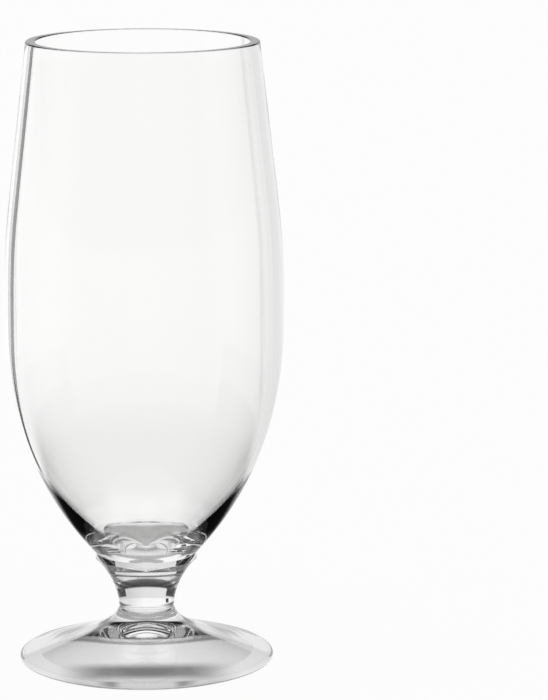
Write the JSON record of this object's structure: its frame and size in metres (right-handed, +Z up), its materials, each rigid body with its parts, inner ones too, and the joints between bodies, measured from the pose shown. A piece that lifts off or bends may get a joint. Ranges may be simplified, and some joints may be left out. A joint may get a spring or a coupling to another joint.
{
  "type": "pilsner glass",
  "caption": "Tall footed beer glass with a rounded tapering bowl on a short solid stem, a beaded collar and a spread hollow foot.",
  "frame": {"origin": "centre of the foot, on the plane it rests on", "axes": "+Z up along the glass's axis of revolution, from the foot to the rim"},
  "size_m": [0.0848, 0.0848, 0.191],
  "materials": {
    "bowl_glass": "fire-polished, clear",
    "stem_glass": "fire-polished, clear",
    "collar_glass": "fire-polished, clear",
    "foot_glass": "fire-polished, clear"
  },
  "bodies": {
    "root": {"bowl": "bowl_glass", "stem": "stem_glass", "collar": "collar_glass", "foot": "foot_glass"}
  },
  "joints": []
}
